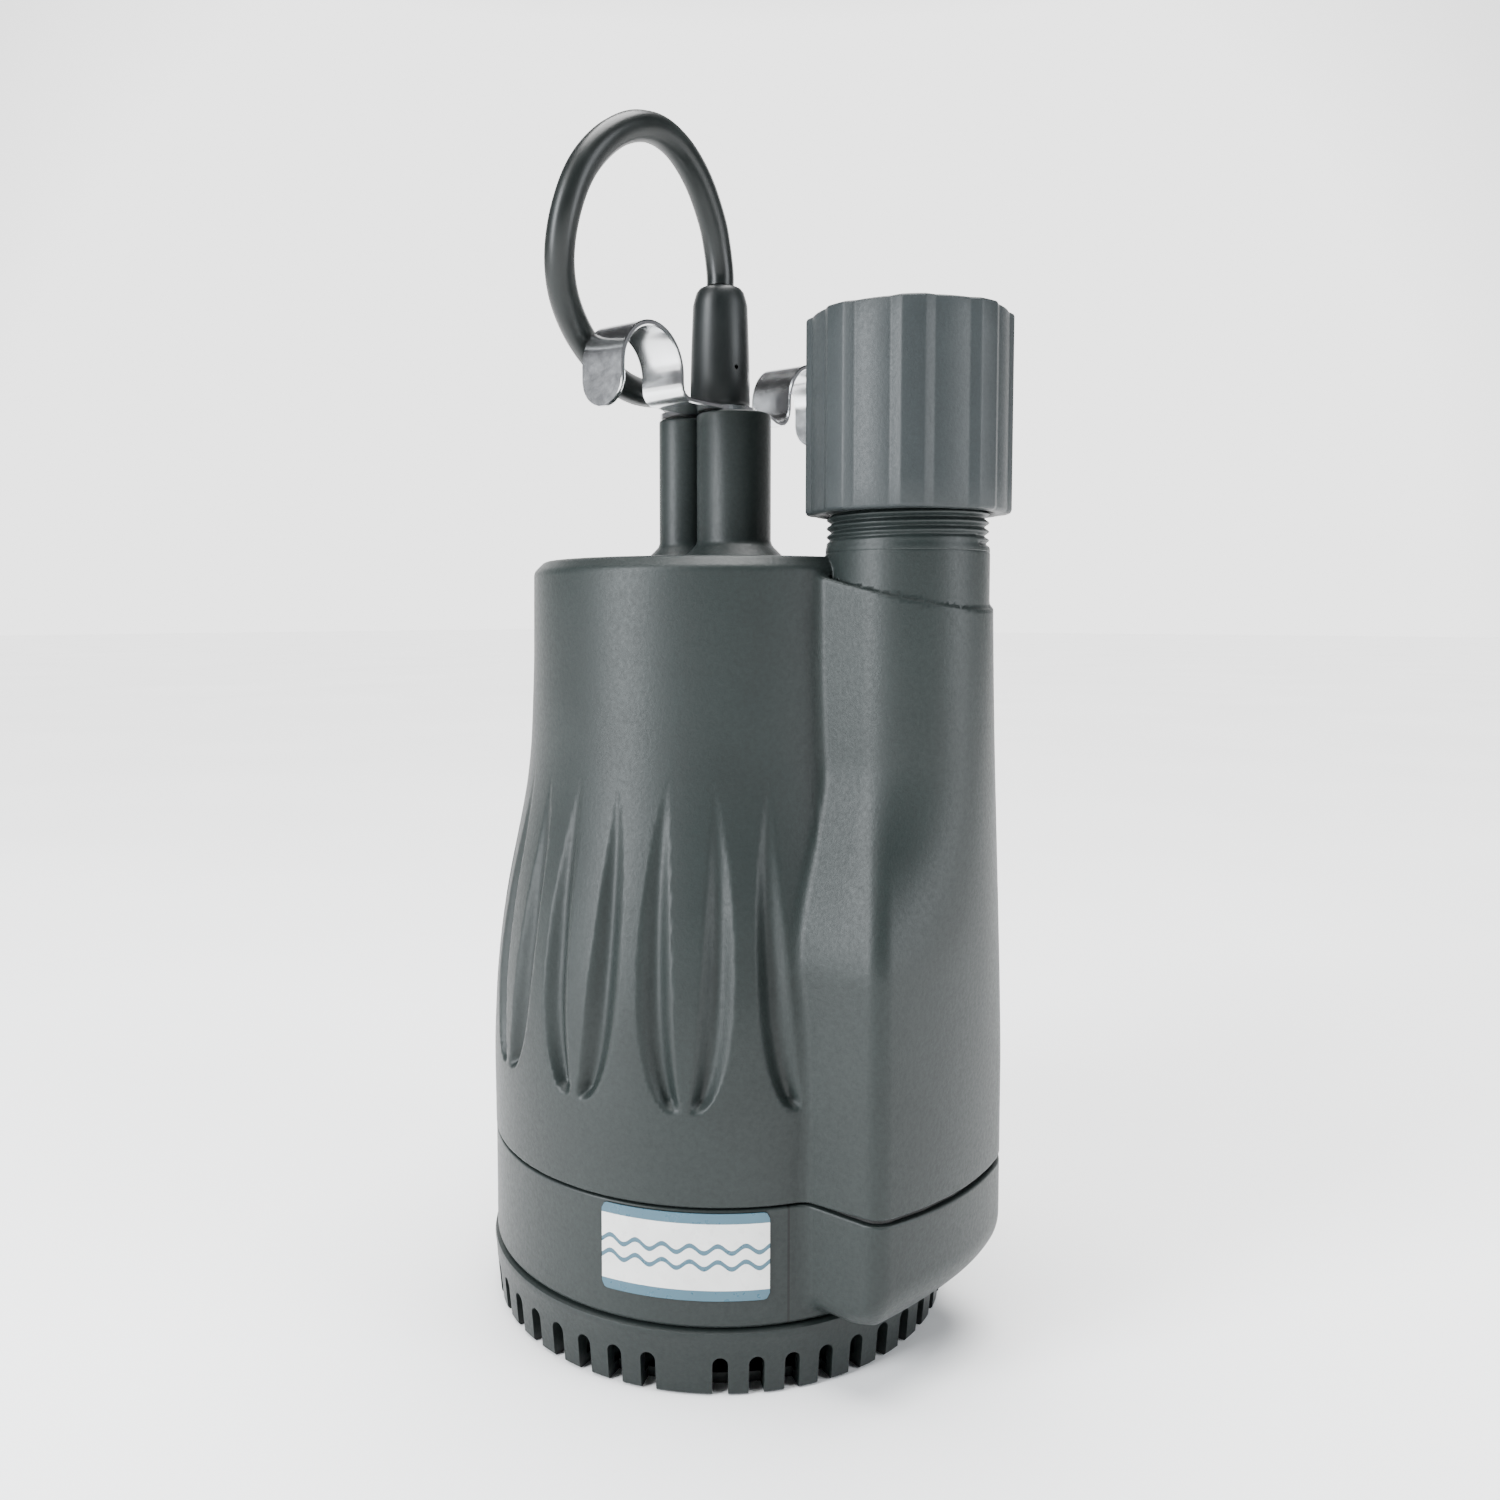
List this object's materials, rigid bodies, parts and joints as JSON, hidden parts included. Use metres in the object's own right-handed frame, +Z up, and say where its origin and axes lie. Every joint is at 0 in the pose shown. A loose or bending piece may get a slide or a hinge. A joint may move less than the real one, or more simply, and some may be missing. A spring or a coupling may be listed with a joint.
{
  "type": "submersible sump pump",
  "caption": "Submersible sump pump with a slotted strainer, side discharge column, ribbed pipe coupling, bent hook bracket and a power cord that loops over the hook.",
  "frame": {"origin": "the middle of the strainer's underside, on the motor's axis", "axes": "+Z up along the motor's axis, +X towards the discharge column"},
  "size_m": [0.2168, 0.2326, 0.3231],
  "materials": {
    "bracket_screw": "satin",
    "can_o_ring": "satin",
    "casing_gasket": "satin",
    "casing_screw_1": "satin",
    "casing_screw_2": "satin",
    "casing_screw_3": "satin",
    "cord_coil": "satin",
    "cord_lead": "satin",
    "cord_tail": "satin",
    "cord_tie": "fine grained, satin",
    "discharge_coupling": "fine grained, satin",
    "hook_bracket": "bright zinc plate",
    "impeller": "fine grained, satin",
    "impeller_nut": "satin",
    "inner_lead": "satin",
    "label": "gloss",
    "lower_bearing": "satin",
    "lower_end_bell": "as cast",
    "motor_can": "satin",
    "motor_housing": "fine grained, satin",
    "motor_screw_1": "satin",
    "motor_screw_2": "satin",
    "motor_screw_3": "satin",
    "motor_screw_4": "satin",
    "plug_blade_line": "bare metal",
    "plug_blade_neutral": "bare metal",
    "plug_body": "satin",
    "plug_ground_pin": "bare metal",
    "rotor_core": "satin",
    "rotor_ring_lower": "as cast",
    "rotor_ring_upper": "as cast",
    "run_capacitor": "gloss",
    "seal_plate": "fine grained, satin",
    "seal_rotary": "satin",
    "seal_seat": "lapped",
    "shaft": "satin",
    "stator_core": "satin",
    "strain_relief": "satin",
    "strainer_base": "fine grained, satin",
    "thermal_protector": "satin",
    "upper_bearing": "satin",
    "upper_end_bell": "as cast",
    "volute_casing": "fine grained, satin",
    "winding_lower": "bare metal",
    "winding_upper": "bare metal"
  },
  "bodies": {
    "pump": {"bracket_screw": "bracket_screw", "can_o_ring": "can_o_ring", "casing_gasket": "casing_gasket", "casing_screw_1": "casing_screw_1", "casing_screw_2": "casing_screw_2", "casing_screw_3": "casing_screw_3", "cord_coil": "cord_coil", "cord_lead": "cord_lead", "cord_tail": "cord_tail", "cord_tie": "cord_tie", "hook_bracket": "hook_bracket", "inner_lead": "inner_lead", "label": "label", "lower_bearing": "lower_bearing", "lower_end_bell": "lower_end_bell", "motor_can": "motor_can", "motor_housing": "motor_housing", "motor_screw_1": "motor_screw_1", "motor_screw_2": "motor_screw_2", "motor_screw_3": "motor_screw_3", "motor_screw_4": "motor_screw_4", "plug_blade_line": "plug_blade_line", "plug_blade_neutral": "plug_blade_neutral", "plug_body": "plug_body", "plug_ground_pin": "plug_ground_pin", "run_capacitor": "run_capacitor", "seal_plate": "seal_plate", "seal_seat": "seal_seat", "stator_core": "stator_core", "strain_relief": "strain_relief", "thermal_protector": "thermal_protector", "upper_bearing": "upper_bearing", "upper_end_bell": "upper_end_bell", "volute_casing": "volute_casing", "winding_lower": "winding_lower", "winding_upper": "winding_upper"},
    "rotor": {"shaft": "shaft", "rotor_core": "rotor_core", "rotor_ring_lower": "rotor_ring_lower", "rotor_ring_upper": "rotor_ring_upper", "impeller": "impeller", "impeller_nut": "impeller_nut", "seal_rotary": "seal_rotary"},
    "strainer": {"strainer_base": "strainer_base"},
    "coupling": {"discharge_coupling": "discharge_coupling"}
  },
  "joints": [
    {"name": "rotor_spin", "type": "hinge", "parent": "pump", "child": "rotor", "pos_m": [0, 0, 0.1], "axis": [0, 0, 1], "continuous": true},
    {"name": "strainer_release", "type": "slide", "parent": "pump", "child": "strainer", "axis": [0, 0, -1], "range_m": [0, 0.03]},
    {"name": "coupling_turn", "type": "hinge", "parent": "pump", "child": "coupling", "pos_m": [0.0614, 0, 0.24], "axis": [0, 0, 1], "continuous": true}
  ]
}
